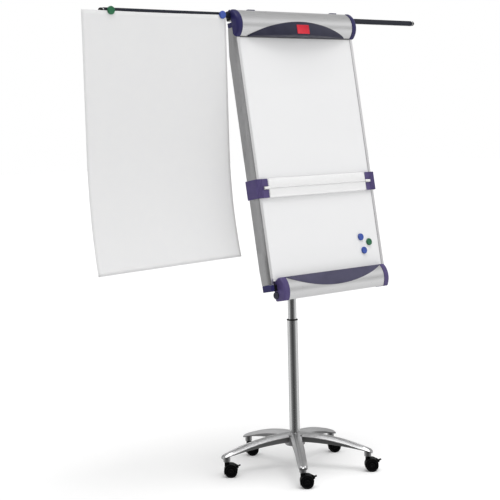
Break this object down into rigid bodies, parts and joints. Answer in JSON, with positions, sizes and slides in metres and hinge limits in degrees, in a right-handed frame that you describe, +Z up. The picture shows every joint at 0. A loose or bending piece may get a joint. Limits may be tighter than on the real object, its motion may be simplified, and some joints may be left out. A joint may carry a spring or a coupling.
{
  "type": "flipchart easel",
  "caption": "Mobile flipchart easel: framed writing board with hinged paper clamp, pen tray, sliding page holder and pull-out display arms on a gas-lift column and castor base.",
  "frame": {"origin": "on the floor under the axis of the column", "axes": "+Z up, the writing board faces -Y, +X to the right of a person standing in front of the board"},
  "size_m": [1.874, 0.6636, 1.9891],
  "materials": {
    "polished_aluminium": "polished die casting",
    "steel": "zinc plated",
    "chrome": "polished",
    "dark_steel": "satin powder coat",
    "castor_plastic": "satin",
    "wheel_plastic": "satin",
    "black_plastic": "satin",
    "glide_plastic": "matte",
    "white_steel": "glossy dry-wipe enamel",
    "core_board": "matte",
    "rail_aluminium": "satin anodised",
    "bright_aluminium": "brushed anodised",
    "indigo_plastic": "satin",
    "violet_plastic": "satin",
    "navy_plastic": "satin",
    "red_plastic": "gloss, blank",
    "rubber": "matte",
    "arm_metal": "satin powder coat",
    "white_plastic": "satin",
    "clear_plastic": "clear acrylic",
    "paper": "uncoated paper",
    "blue_plastic": "gloss",
    "green_plastic": "gloss"
  },
  "bodies": {
    "base": {"star_base": "polished_aluminium", "castor_stems": "steel", "column_tube": "chrome", "column_collar": "black_plastic", "gas_spring_rod": "steel"},
    "gas_spring": {"gas_spring_cylinder": "dark_steel"},
    "valve_pin": {"gas_valve_pin": "white_plastic"},
    "mast": {"mast_tube": "chrome", "mast_glide": "glide_plastic", "head_bracket": "dark_steel", "lever_pin": "steel"},
    "lift_lever": {"lift_lever": "black_plastic"},
    "board": {"writing_sheet": "white_steel", "panel_core": "core_board", "side_rails": "rail_aluminium", "rear_beams": "rail_aluminium", "frame_screws": "steel", "mount_plate": "dark_steel", "pivot_bolt": "steel", "rail_end_blocks": "indigo_plastic", "top_rail": "rail_aluminium", "arm_sleeves": "black_plastic", "hinge_pins": "steel", "tray_rail": "bright_aluminium", "tray_insert": "navy_plastic", "tray_caps": "violet_plastic", "tray_tube": "arm_metal"},
    "tilt_knob": {"tilt_knob": "black_plastic"},
    "clamp": {"clamp_bar": "bright_aluminium", "clamp_handle": "navy_plastic", "clamp_badge": "red_plastic", "clamp_caps": "indigo_plastic", "grip_strip": "rubber"},
    "pad_hook_left": {"pad_hook_left": "indigo_plastic"},
    "pad_hook_right": {"pad_hook_right": "indigo_plastic"},
    "page_holder": {"page_sliders": "violet_plastic", "page_bushes": "white_plastic"},
    "page_strip": {"page_rod": "steel", "page_strip": "clear_plastic"},
    "arm_left": {"arm_left": "arm_metal"},
    "arm_right": {"arm_right": "arm_metal"},
    "hanging_sheet": {"hanging_sheet": "paper"},
    "board_magnets": {"board_magnets": "blue_plastic"},
    "arm_magnet_outer": {"arm_magnet_outer": "green_plastic"},
    "arm_magnet_inner": {"arm_magnet_inner": "blue_plastic"},
    "castor_1": {"castor_hood_1": "castor_plastic"},
    "wheels_1": {"wheel_set_1": "wheel_plastic"},
    "brake_1": {"castor_brake_1": "castor_plastic"},
    "castor_2": {"castor_hood_2": "castor_plastic"},
    "wheels_2": {"wheel_set_2": "wheel_plastic"},
    "brake_2": {"castor_brake_2": "castor_plastic"},
    "castor_3": {"castor_hood_3": "castor_plastic"},
    "wheels_3": {"wheel_set_3": "wheel_plastic"},
    "brake_3": {"castor_brake_3": "castor_plastic"},
    "castor_4": {"castor_hood_4": "castor_plastic"},
    "wheels_4": {"wheel_set_4": "wheel_plastic"},
    "brake_4": {"castor_brake_4": "castor_plastic"},
    "castor_5": {"castor_hood_5": "castor_plastic"},
    "wheels_5": {"wheel_set_5": "wheel_plastic"},
    "brake_5": {"castor_brake_5": "castor_plastic"}
  },
  "joints": [
    {"name": "column_lift", "type": "slide", "parent": "base", "child": "gas_spring", "axis": [0, 0, 1], "range_m": [-0.26, 0.08]},
    {"name": "board_swivel", "type": "hinge", "parent": "gas_spring", "child": "mast", "pos_m": [0, 0, 1], "axis": [0, 0, 1], "continuous": true},
    {"name": "valve_press", "type": "slide", "parent": "gas_spring", "child": "valve_pin", "axis": [0, 0, 1], "range_m": [-0.0035, 0]},
    {"name": "lift_lever_pull", "type": "hinge", "parent": "mast", "child": "lift_lever", "pos_m": [0.02, 0, 1.1042], "axis": [0, -1, 0], "range_deg": [0, 8], "stiffness_Nm_per_rad": 2, "springref_deg": -5.73},
    {"name": "board_tilt", "type": "hinge", "parent": "mast", "child": "board", "pos_m": [0, -0.10805, 1.1187], "axis": [-1, 0, 0], "range_deg": [-9.5, 35]},
    {"name": "tilt_knob_turn", "type": "hinge", "parent": "board", "child": "tilt_knob", "pos_m": [0.03, -0.10805, 1.1187], "axis": [1, 0, 0], "range_deg": [0, 270]},
    {"name": "clamp_open", "type": "hinge", "parent": "board", "child": "clamp", "pos_m": [0, -0.03562, 1.97751], "axis": [-1, 0, 0], "range_deg": [0, 70], "stiffness_Nm_per_rad": 0.5, "springref_deg": -20.05},
    {"name": "pad_hook_left_slide", "type": "slide", "parent": "board", "child": "pad_hook_left", "axis": [1, 0, 0], "range_m": [-0.079, 0.151]},
    {"name": "pad_hook_right_slide", "type": "slide", "parent": "board", "child": "pad_hook_right", "axis": [1, 0, 0], "range_m": [-0.189, 0.036]},
    {"name": "page_holder_slide", "type": "slide", "parent": "board", "child": "page_holder", "axis": [0, 0.1716, 0.9852], "range_m": [-0.18, 0.55]},
    {"name": "page_strip_tip", "type": "hinge", "parent": "page_holder", "child": "page_strip", "pos_m": [0, -0.18184, 1.25742], "axis": [1, 0, 0], "range_deg": [-10, 10]},
    {"name": "arm_left_slide", "type": "slide", "parent": "board", "child": "arm_left", "axis": [1, 0, 0], "range_m": [0, 0.5], "deforming": ["hanging_sheet"]},
    {"name": "arm_right_slide", "type": "slide", "parent": "board", "child": "arm_right", "axis": [1, 0, 0], "range_m": [-0.39, 0.2]},
    {"name": "sheet_swing", "type": "hinge", "parent": "arm_left", "child": "hanging_sheet", "pos_m": [-0.72, -0.04428, 1.9511], "axis": [-1, 0, 0], "range_deg": [-36, 10]},
    {"name": "board_magnets_lift", "type": "slide", "parent": "board", "child": "board_magnets", "axis": [0, -0.9852, 0.1716], "range_m": [0, 0.03]},
    {"name": "outer_magnet_lift", "type": "slide", "parent": "hanging_sheet", "child": "arm_magnet_outer", "axis": [0, -1, 0], "range_m": [0, 0.03]},
    {"name": "inner_magnet_slide", "type": "slide", "parent": "hanging_sheet", "child": "arm_magnet_inner", "axis": [1, 0, 0], "range_m": [-0.5, 0]},
    {"name": "castor_swivel_1", "type": "hinge", "parent": "base", "child": "castor_1", "pos_m": [0.30963, 0.09054, 0.06], "axis": [0, 0, 1], "continuous": true},
    {"name": "wheel_roll_1", "type": "hinge", "parent": "castor_1", "child": "wheels_1", "pos_m": [0.32242, 0.07935, 0.028], "axis": [0.6587, 0.7524, 0], "continuous": true},
    {"name": "brake_press_1", "type": "hinge", "parent": "castor_1", "child": "brake_1", "pos_m": [0.34387, 0.06057, 0.045], "axis": [0.6587, 0.7524, 0], "range_deg": [0, 18]},
    {"name": "castor_swivel_2", "type": "hinge", "parent": "base", "child": "castor_2", "pos_m": [0.00957, 0.32246, 0.06], "axis": [0, 0, 1], "continuous": true},
    {"name": "wheel_roll_2", "type": "hinge", "parent": "castor_2", "child": "wheels_2", "pos_m": [0.02236, 0.31126, 0.028], "axis": [0.6587, 0.7524, 0], "continuous": true},
    {"name": "brake_press_2", "type": "hinge", "parent": "castor_2", "child": "brake_2", "pos_m": [0.04381, 0.29249, 0.045], "axis": [0.6587, 0.7524, 0], "range_deg": [0, 18]},
    {"name": "castor_swivel_3", "type": "hinge", "parent": "base", "child": "castor_3", "pos_m": [-0.30372, 0.10875, 0.06], "axis": [0, 0, 1], "continuous": true},
    {"name": "wheel_roll_3", "type": "hinge", "parent": "castor_3", "child": "wheels_3", "pos_m": [-0.29093, 0.09755, 0.028], "axis": [0.6587, 0.7524, 0], "continuous": true},
    {"name": "brake_press_3", "type": "hinge", "parent": "castor_3", "child": "brake_3", "pos_m": [-0.26948, 0.07878, 0.045], "axis": [0.6587, 0.7524, 0], "range_deg": [0, 18]},
    {"name": "castor_swivel_4", "type": "hinge", "parent": "base", "child": "castor_4", "pos_m": [-0.19728, -0.25525, 0.06], "axis": [0, 0, 1], "continuous": true},
    {"name": "wheel_roll_4", "type": "hinge", "parent": "castor_4", "child": "wheels_4", "pos_m": [-0.18449, -0.26645, 0.028], "axis": [0.6587, 0.7524, 0], "continuous": true},
    {"name": "brake_press_4", "type": "hinge", "parent": "castor_4", "child": "brake_4", "pos_m": [-0.16304, -0.28522, 0.045], "axis": [0.6587, 0.7524, 0], "range_deg": [0, 18]},
    {"name": "castor_swivel_5", "type": "hinge", "parent": "base", "child": "castor_5", "pos_m": [0.18179, -0.2665, 0.06], "axis": [0, 0, 1], "continuous": true},
    {"name": "wheel_roll_5", "type": "hinge", "parent": "castor_5", "child": "wheels_5", "pos_m": [0.19458, -0.2777, 0.028], "axis": [0.6587, 0.7524, 0], "continuous": true},
    {"name": "brake_press_5", "type": "hinge", "parent": "castor_5", "child": "brake_5", "pos_m": [0.21603, -0.29647, 0.045], "axis": [0.6587, 0.7524, 0], "range_deg": [0, 18]}
  ],
  "couplings": [
    {"joint": "valve_press", "follows": "lift_lever_pull", "m_per_rad": -0.0235},
    {"joint": "sheet_swing", "follows": "board_tilt", "ratio": -1},
    {"joint": "inner_magnet_slide", "follows": "arm_left_slide", "ratio": -1}
  ]
}
